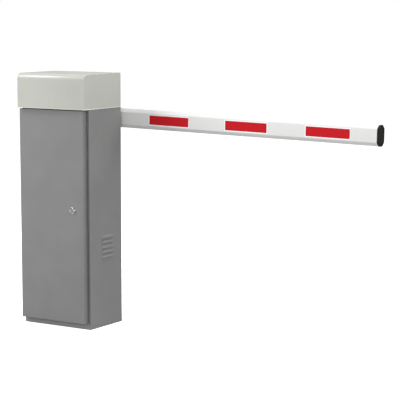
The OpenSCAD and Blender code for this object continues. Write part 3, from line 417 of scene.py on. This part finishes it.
# Chrome over polish: near mirror, with the faint rings that turning leaves.
place = add_node(chrome, "ShaderNodeTexCoord").outputs["Object"]
centred = add_node(chrome, "ShaderNodeMapping", {"Vector": place, "Location": (-lock_x, 0, -lock_z)})
rings = add_node(chrome, "ShaderNodeTexWave", {"Vector": centred.outputs[0], "Scale": 400},
                 wave_type="RINGS", rings_direction="Y")
relief = add_node(chrome, "ShaderNodeBump", {"Height": rings.outputs[1], "Strength": 0.12,
                                             "Distance": 0.0001})
chrome.node_tree.links.new(relief.outputs[0], shader.inputs["Normal"])
shader.inputs["Base Color"].default_value = linear("E6E7E9")

bezel_r = (lock_high.x - lock_low.x) / 2
barrel_r = 0.011
plug_r = 0.0075
bezel_t = 0.003
rim_w = 0.0030
ring_w = 0.0012
ring_depth = 0.0009
ring_rise = 0.0006
plug_fit = 0.0001
bore = 0.030
bezel = bar("lock_bezel", bezel_r, (lock_x, lock_low.y, lock_z),
            (lock_x, lock_low.y + bezel_t, lock_z), 64)
edit(bezel)
pick("FACE", lambda f: f.normal.y > 0.9)
bpy.ops.mesh.inset(thickness=bezel_r - barrel_r)
bpy.ops.mesh.extrude_region_move(
    TRANSFORM_OT_translate={"value": (0, lock_high.y - lock_low.y - bezel_t, 0)})
pick("FACE", lambda f: f.normal.y < -0.9)
for width, depth in ((rim_w, ring_depth), (ring_w, -ring_rise),
                     (bezel_r - rim_w - ring_w - plug_r - plug_fit, bore)):
    bpy.ops.mesh.inset(thickness=width)
    bpy.ops.mesh.extrude_region_move(TRANSFORM_OT_translate={"value": (0, depth, 0)})
done()
shape(bezel, "BEVEL", width=0.0007, segments=3, limit_method="ANGLE", angle_limit=math.radians(40))
dress(bezel, "door", chrome, "lock_barrel")

plug_low, plug_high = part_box("lock_plug")
plug_rim = 0.0016
plug_dish = 0.0005
slot_half_w = 0.0008
slot_half_h = 0.0042
slot_depth = 0.009
plug = bar("lock_core", plug_r, (lock_x, plug_low.y, lock_z), (lock_x, plug_high.y, lock_z))
edit(plug)
pick("FACE", lambda f: f.normal.y < -0.9)
bpy.ops.mesh.inset(thickness=plug_rim)
bpy.ops.mesh.extrude_region_move(TRANSFORM_OT_translate={"value": (0, plug_dish, 0)})
done()
key_slot = block("key_slot", (lock_x - slot_half_w, plug_low.y - 0.002, lock_z - slot_half_h),
                 (lock_x + slot_half_w, plug_low.y + slot_depth, lock_z + slot_half_h))
cut(plug, [key_slot])
shape(plug, "BEVEL", width=0.0003, segments=2, limit_method="ANGLE", angle_limit=math.radians(40))
dress(plug, "lock", chrome, "lock_plug")
edged_copy("lock_nut", "door", zinc_bolt)
edged_copy("lock_cam", "lock", zinc_bolt)

# Cover.
# A lift-off hood of folded and welded 2 mm sheet with a rolled front edge, and a small flared hem
# along its lower edge, powder coated light warm grey.
cover_coat = powder_coat("powder_coated_steel_light_grey", "B4B5AE", "AFB0A9", 0.3, 0.5)
roll = 0.025
weld_r = 0.0013
hem_h = 0.003
hem_out = 0.0026
hem_return = 0.010
cover = block("cover_hood", cover_low, cover_high)
edit(cover)
pick("FACE", lambda f: f.normal.z < -0.9)
bpy.ops.mesh.delete(type="FACE")
pick("EDGE", lambda e: all_at(e, 1, cover_low.y) and all_at(e, 2, cover_high.z))
bpy.ops.mesh.bevel(offset=roll, segments=14)
pick("EDGE", folded)
bpy.ops.mesh.bevel(offset=weld_r, segments=3)
bpy.ops.mesh.select_all(action="SELECT")
bpy.ops.mesh.bisect(plane_co=(0, 0, cover_low.z + hem_h), plane_no=(0, 0, 1))
pick("EDGE", lambda e: e.is_boundary)
cover_size = cover_high - cover_low
grow = Vector(((cover_size.x + 2 * hem_out) / cover_size.x, (cover_size.y + hem_out) / cover_size.y, 1))
bpy.ops.transform.resize(value=grow, center_override=(0, cover_high.y, 0))
pick("EDGE", lambda e: e.is_boundary and middle(e).y < cover_low.y + 0.0001)
bpy.ops.mesh.extrude_region_move(TRANSFORM_OT_translate={"value": (0, hem_return, 0)})
done()
shape(cover, "SOLIDIFY", thickness=steel, offset=-1, use_even_offset=True)
dress(cover, "cover", cover_coat, "top_cover")

# Boom.
# An octagonal aluminium extrusion of 2.5 mm wall, powder coated white, with the faint lengthwise
# lines of the die. It sags a little, so it is built level and tipped about the main shaft.
boom_coat, shader = new_finish("white_powder_coated_aluminium_extrusion", Roughness=0.38,
                               Specular_IOR_Level=0.45)
mottle(boom_coat, shader, linear("DCDCDB"), linear("D6D6D5"), 0.10, 0.25, 0.0035, 0.0002,
       stretch=(0.04, 1, 1))
droop = math.radians(1.1)
shaft = Vector((0, 0, shaft_z))
tipped = Matrix.Translation(shaft) @ Matrix.Rotation(droop, 4, "Y") @ Matrix.Translation(-shaft)
tube_low, tube_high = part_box("boom_tube")
section_h = 0.080
section_cut = 0.01425
wall = 0.0025
tube_y = (tube_low.y, tube_high.y)
section_r = 0.0016
root_x = -0.097
tip_x = 1.333
cap_len = 0.009
cap_end = 0.003


def tip_down(piece):
    """Tips a level piece down to the boom's sag."""
    piece.matrix_world = tipped
    place_in_mesh(piece, piece.name)


def octagon(name, x0, x1, grow, corner):
    """A level octagonal bar along the boom, grown all round, with rounded corners."""
    piece = block(name, (x0, tube_y[0] - grow, shaft_z - section_h / 2 - grow),
                  (x1, tube_y[1] + grow, shaft_z + section_h / 2 + grow))
    edit(piece)
    pick("EDGE", lambda e: folded(e) and abs(e.verts[0].co.x - e.verts[1].co.x) > 1e-4)
    bpy.ops.mesh.bevel(offset=section_cut + 0.6 * grow, segments=1)
    pick("EDGE", lambda e: abs(e.verts[0].co.x - e.verts[1].co.x) > 1e-4)
    bpy.ops.mesh.bevel(offset=corner, segments=3)
    done()
    return piece


tube = octagon("boom_profile", root_x, tip_x - cap_end, 0, section_r)
edit(tube)
pick("FACE", lambda f: abs(f.normal.x) > 0.9)
bpy.ops.mesh.delete(type="FACE")
done()
shape(tube, "SOLIDIFY", thickness=wall, offset=-1, use_even_offset=True)
tip_down(tube)
dress(tube, "boom", boom_coat, "boom_tube", sharp=20)

# End caps.
# Injection moulded black polypropylene with a spark-eroded grain, pushed onto both ends.
cap_plastic, shader = new_finish("moulded_black_polypropylene", Roughness=0.55, Specular_IOR_Level=0.25)
mottle(cap_plastic, shader, linear("181818"), linear("141414"), 0.03, 0.5, 0.0016, 0.0002)
cap_wall = 0.001
cap_fit = 0.0001
cap_corner_r = 0.003
cap_edge_r = 0.0009
cap_rim = 0.0018
cap_dish = 0.0012
cap = octagon("boom_cap_tip", tip_x - cap_len, tip_x, cap_wall, cap_corner_r)
edit(cap)
pick("EDGE", lambda e: all_at(e, 0, tip_x))
bpy.ops.mesh.bevel(offset=cap_edge_r, segments=2)
pick("FACE", lambda f: f.normal.x > 0.9 and f.calc_area() > 1e-3)
bpy.ops.mesh.inset(thickness=cap_rim)
bpy.ops.mesh.extrude_region_move(TRANSFORM_OT_translate={"value": (-cap_dish, 0, 0)})
pick("FACE", lambda f: all_at(f, 0, tip_x - cap_len))
bpy.ops.mesh.inset(thickness=cap_wall - cap_fit)
bpy.ops.mesh.extrude_region_move(TRANSFORM_OT_translate={"value": (cap_len - cap_end, 0, 0)})
done()
tip_down(cap)
dress(cap, "boom", cap_plastic, "boom_tip_cap")

root_end = root_x - 0.004
root_edge_r = 0.0018
root_plug = 0.006
root = octagon("boom_cap_root", root_end, root_x, 0, section_r)
edit(root)
pick("EDGE", lambda e: all_at(e, 0, root_end))
bpy.ops.mesh.bevel(offset=root_edge_r, segments=3)
pick("FACE", lambda f: f.normal.x > 0.9)
bpy.ops.mesh.inset(thickness=wall + cap_fit)
bpy.ops.mesh.extrude_region_move(TRANSFORM_OT_translate={"value": (root_plug, 0, 0)})
done()
tip_down(root)
dress(root, "boom", cap_plastic, "boom_root_cap")

# Reflective strips.
# Red prismatic film under a clear face, die cut with round corners and edged by its white carrier.
# The cells are about 4 mm across, with sealed seams between them.
film, shader = new_finish("red_prismatic_reflective_film", Roughness=0.5, Specular_IOR_Level=0.1)
place = add_node(film, "ShaderNodeTexCoord").outputs["Object"]
cells = add_node(film, "ShaderNodeTexVoronoi", {"Vector": place, "Scale": 1 / 0.004, "Randomness": 0.25},
                 feature="DISTANCE_TO_EDGE")
seam = add_node(film, "ShaderNodeMapRange", {"Value": cells.outputs[0], "From Min": 0.0,
                                             "From Max": 0.12})
red = add_node(film, "ShaderNodeMix", {0: seam.outputs[0], 6: linear("A0181F"), 7: linear("C21D25")},
               data_type="RGBA")
film.node_tree.links.new(red.outputs[2], shader.inputs["Base Color"])
relief = add_node(film, "ShaderNodeBump", {"Height": seam.outputs[0], "Strength": 0.25,
                                           "Distance": 0.0002})
film.node_tree.links.new(relief.outputs[0], shader.inputs["Normal"])
carrier, shader = new_finish("white_carrier_film", Roughness=0.3)
mottle(carrier, shader, linear("F4FAFC"), linear("E9F3F6"), 0.02, 0.1, 0.002, 0.0001)

strip_count = 3
strip_len = 0.190
strip_h = 0.038
strip_pitch = 0.364
strip_start = 0.292
edge_w = 0.0035
film_corner_r = 0.0015
face_y = tube_y[0]
carrier_y = face_y - 0.0002
film_y = face_y - 0.0006


def film_sheet(name, x0, grow, y0, y1):
    """One flat film with rounded corners, grown all round."""
    piece = block(name, (x0 - grow, y0, shaft_z - strip_h / 2 - grow),
                  (x0 + strip_len + grow, y1, shaft_z + strip_h / 2 + grow))
    edit(piece)
    pick("EDGE", lambda e: abs(e.verts[0].co.y - e.verts[1].co.y) > 1e-5)
    bpy.ops.mesh.bevel(offset=film_corner_r + grow / 2, segments=4)
    done()
    tip_down(piece)
    return piece


for i in range(strip_count):
    x0 = strip_start + i * strip_pitch
    backing = film_sheet(f"strip_carrier_{i + 1}", x0, edge_w, carrier_y, face_y)
    dress(backing, "boom", carrier)
    red_film = film_sheet(f"strip_red_{i + 1}", x0, 0, film_y, carrier_y)
    dress(red_film, "boom", film, "reflective_strips")

# Hub and clamp plates.
# Turned hub and laser cut plates of steel in a satin black powder coat, drawn together round the
# boom by zinc plated bolts with sleeves.
hub_coat = powder_coat("powder_coated_steel_satin_black", "39393A", "333334", 0.42, 0.4)
for node in ("hub_flange", "clamp_plate_inner", "clamp_plate_outer"):
    edged_copy(node, "boom", hub_coat, edge=0.0008)
edged_copy("clamp_bolts", "boom", zinc_bolt, edge=0.0004)

# Shaft, collars, bearings and seal.
# Ground steel shaft with fine rings round it, grey iron bearing housings, and a moulded rubber seal.
ground_steel, shader = new_finish("ground_steel", Metallic=1.0, Roughness=0.26)
mottle(ground_steel, shader, linear("C3C5C7"), linear("ABAEB1"), 0.02, 0.2, 0.0008, 0.00008,
       stretch=(1, 8, 1))
cast_iron, shader = new_finish("sand_cast_iron", Metallic=0.6, Roughness=0.62)
mottle(cast_iron, shader, linear("75777B"), linear("5E6064"), 0.02, 0.6, 0.003, 0.0005)
rubber, shader = new_finish("moulded_black_rubber", Roughness=0.72)
mottle(rubber, shader, linear("202020"), linear("181818"), 0.02, 0.35, 0.0015, 0.0002)
for node, body in (("main_shaft", "boom"), ("output_shaft", "crank")):
    edged_copy(node, body, ground_steel, edge=0.001)
for node, body in (("lever_pins", "boom"), ("worm_shaft", "worm"), ("motor_rotor", "motor")):
    edged_copy(node, body, ground_steel, edge=0.0003)
for node, body in (("flange_bearings", "cabinet"), ("shaft_collars", "boom")):
    edged_copy(node, body, cast_iron, edge=0.001)
for node in ("shaft_seal", "rubber_buffers"):
    edged_copy(node, "cabinet", rubber, edge=0.0008)

# Levers, crank, connecting rod and spring hanger.
# Flame cut steel in grey machine enamel, brushed on: slightly uneven and glossy.
enamel, shader = new_finish("grey_machine_enamel", Roughness=0.36, Specular_IOR_Level=0.5)
mottle(enamel, shader, linear("7E848B"), linear("737980"), 0.03, 0.3, 0.006, 0.0004)
for node, body in (("drive_lever", "boom"), ("spring_lever", "boom"), ("drive_crank", "crank"),
                   ("connecting_rod", "rod"), ("spring_hanger", "hanger")):
    edged_copy(node, body, enamel, edge=0.001)
edged_copy("sensor_flag", "boom", zinc_bolt)

# Sheet metal inside the cabinet.
# Folded and punched zinc plated sheet, dull blue grey with the rolling direction just visible.
zinc_sheet, shader = new_finish("zinc_plated_sheet", Metallic=0.9, Roughness=0.46)
mottle(zinc_sheet, shader, linear("B4B8BC"), linear("9CA1A6"), 0.05, 0.25, 0.004, 0.0002,
       stretch=(0.3, 1, 1))
for node in ("base_plate", "anchor_bars", "shelf_brackets", "machine_shelf", "front_stand", "rear_stand",
             "motor_hangers", "spring_anchor", "control_plate", "din_rail"):
    edged_copy(node, "cabinet", zinc_sheet, edge=0.0006)
for node in ("machine_bolts", "tension_screw"):
    edged_copy(node, "cabinet", zinc_bolt, edge=0.0004)

# Reducer.
# Cast iron case and covers in blue grey enamel over the casting's skin, with a hobbed bronze wheel.
case_enamel, shader = new_finish("blue_grey_enamel_on_cast_iron", Roughness=0.42)
mottle(case_enamel, shader, linear("5F7186"), linear("54657A"), 0.04, 0.6, 0.004, 0.0006)
for node in ("reducer_housing", "reducer_covers"):
    edged_copy(node, "cabinet", case_enamel, edge=0.0015)
bronze, shader = new_finish("hobbed_cast_bronze", Metallic=1.0, Roughness=0.3)
mottle(bronze, shader, linear("C7A064"), linear("A98449"), 0.01, 0.2, 0.001, 0.0001)
edged_copy("worm_wheel", "crank", bronze, edge=0.0002)

# Motor, belt and handwheel.
# Die cast aluminium stator with ribs and shields, a neoprene belt, a black phenolic handwheel.
cast_aluminium, shader = new_finish("die_cast_aluminium", Metallic=0.85, Roughness=0.5)
mottle(cast_aluminium, shader, linear("9A9DA0"), linear("84878A"), 0.03, 0.45, 0.0025, 0.0004)
for node in ("motor_stator", "motor_shields"):
    edged_copy(node, "cabinet", cast_aluminium, edge=0.0008)
edged_copy("drive_belt", "cabinet", rubber, edge=0.0004)
phenolic, shader = new_finish("moulded_phenolic", Roughness=0.3)
mottle(phenolic, shader, linear("1F1F1F"), linear("191919"), 0.02, 0.15, 0.003, 0.0002)
edged_copy("motor_handwheel", "motor", phenolic, edge=0.002)

# Balance spring.
# Cold coiled spring wire of 5 mm, oil blackened, built at its rest length.
spring_wire, shader = new_finish("oil_blackened_spring_wire", Metallic=0.9, Roughness=0.35)
mottle(spring_wire, shader, linear("55575B"), linear("3F4145"), 0.01, 0.2, 0.002, 0.0001)
wire_r = 0.0025
coil_turns = 22
coil_low, coil_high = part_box("balance_spring")
coil_mid = (coil_low + coil_high) / 2
coil_r = (coil_high.x - coil_low.x) / 2 - wire_r
rest_len = coil_high.z - coil_low.z - 2 * wire_r
bpy.ops.object.select_all(action="DESELECT")
bpy.ops.mesh.primitive_circle_add(vertices=12, radius=wire_r, location=(coil_r, 0, 0),
                                  rotation=(math.pi / 2, 0, 0))
spring = place_in_mesh(bpy.context.object, "spring_coil")
shape(spring, "SCREW", axis="Z", angle=2 * math.pi, screw_offset=rest_len / coil_turns,
      iterations=coil_turns, steps=24, render_steps=24, use_merge_vertices=False)
edit(spring)
pick("EDGE", lambda e: e.is_boundary)
bpy.ops.mesh.edge_face_add()
bpy.ops.mesh.select_all(action="SELECT")
bpy.ops.mesh.normals_make_consistent(inside=False)
done()
spring.location = (coil_mid.x, coil_mid.y, coil_low.z + wire_r)
place_in_mesh(spring, "spring_coil")
dress(spring, "cabinet", spring_wire, "balance_spring", sharp=60)
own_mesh(spring)

# Electrics.
# Moulded housings: light grey ABS for controller and breaker, grey polyamide for the terminals, and
# blue polyester for the proximity switches.
abs_grey, shader = new_finish("moulded_light_grey_abs", Roughness=0.45)
mottle(abs_grey, shader, linear("CFCFCB"), linear("C6C6C2"), 0.04, 0.4, 0.0015, 0.0002)
for node in ("controller_case", "controller_lid", "circuit_breaker"):
    edged_copy(node, "cabinet", abs_grey, edge=0.0012)
polyamide, shader = new_finish("moulded_grey_polyamide", Roughness=0.55)
mottle(polyamide, shader, linear("9A9E9A"), linear("8E928E"), 0.02, 0.3, 0.0015, 0.0002)
edged_copy("terminal_blocks", "cabinet", polyamide, edge=0.0004)
polyester, shader = new_finish("moulded_blue_polyester", Roughness=0.35)
mottle(polyester, shader, linear("2F5A94"), linear("284E83"), 0.01, 0.2, 0.0015, 0.0001)
edged_copy("limit_sensors", "cabinet", polyester, edge=0.0006)

# Studio.
# A pale floor under an even white sky, with soft boxes at the front left and right, on the right, and
# above on the left and at the back. Floor and sky look white. The front left box leaves no highlight.
def seen_or_lit(owner, seen, lit):
    """One shader for what the camera sees, and a dimmer one for the light it sends back."""
    ray = add_node(owner, "ShaderNodeLightPath").outputs["Is Camera Ray"]
    mix = add_node(owner, "ShaderNodeMixShader", {0: ray, 1: lit.outputs[0], 2: seen.outputs[0]})
    return mix.outputs[0]


floor_paint, shader = new_finish("pale_studio_floor", Roughness=0.9, Specular_IOR_Level=0.1)
mottle(floor_paint, shader, linear("FFFFFF"), linear("FDFDFD"), 0.5, 0.05, 0.02, 0.0005)
bounce = add_node(floor_paint, "ShaderNodeBsdfDiffuse", {"Color": linear("8C8C8C")})
glow = add_node(floor_paint, "ShaderNodeEmission", {"Color": (1, 1, 1, 1), "Strength": 0.68})
white = add_node(floor_paint, "ShaderNodeAddShader", {0: shader.outputs[0], 1: glow.outputs[0]})
tree = floor_paint.node_tree
tree.links.new(seen_or_lit(floor_paint, white, bounce), tree.nodes["Material Output"].inputs[0])
bpy.ops.object.select_all(action="DESELECT")
bpy.ops.mesh.primitive_plane_add(size=80)
floor = place_in_mesh(bpy.context.object, "floor")
floor.data.materials.append(floor_paint)

sky = bpy.data.worlds.new("white_sky")
sky.use_nodes = True
tree = sky.node_tree
seen = tree.nodes["Background"]
seen.inputs["Color"].default_value = (1, 1, 1, 1)
seen.inputs["Strength"].default_value = 1.0
lit = add_node(sky, "ShaderNodeBackground", {"Color": (1, 1, 1, 1), "Strength": 0.36})
tree.links.new(seen_or_lit(sky, seen, lit), tree.nodes["World Output"].inputs[0])
bpy.context.scene.world = sky


def soft_light(name, place, aim, size, watts):
    """A square soft box at a place, turned to its aim."""
    light = bpy.data.lights.new(name, "AREA")
    light.size = size
    light.energy = watts
    lamp = bpy.data.objects.new(name, light)
    lamp.location = place
    lamp.rotation_euler = (Vector(aim) - Vector(place)).to_track_quat("-Z", "Y").to_euler()
    bpy.context.collection.objects.link(lamp)
    return lamp


fill = soft_light("front_left_box", (-7.6, -6.0, 2.0), (0.3, 0, 0.6), 5.0, 610)
fill.visible_glossy = False
soft_light("front_right_box", (5.0, -8.0, 2.2), (0.3, 0, 0.6), 4.0, 400)
soft_light("right_box", (9.5, 0.8, 2.8), (0.1, 0, 0.7), 5.0, 340)
soft_light("top_left_box", (-3.6, -2.0, 4.4), (0, 0, 0.9), 1.7, 150)
soft_light("top_back_box", (0.6, 2.2, 5.0), (0.1, 0, 0.9), 4.0, 240)

# Camera.
# It stands a little above the cabinet's top and looks slightly down, turned so that the right side
# shows.
turn = math.radians(32.39)
dip = math.radians(7.185)
lens = bpy.data.cameras.new("camera")
lens.sensor_width = 36
lens.lens = 139.95
camera = bpy.data.objects.new("camera", lens)
camera.location = (3.8793, -5.1279, 1.3195)
camera.rotation_euler = (math.pi / 2 - dip, 0, turn)
bpy.context.collection.objects.link(camera)
bpy.context.scene.camera = camera
bpy.context.scene.view_settings.view_transform = "Standard"
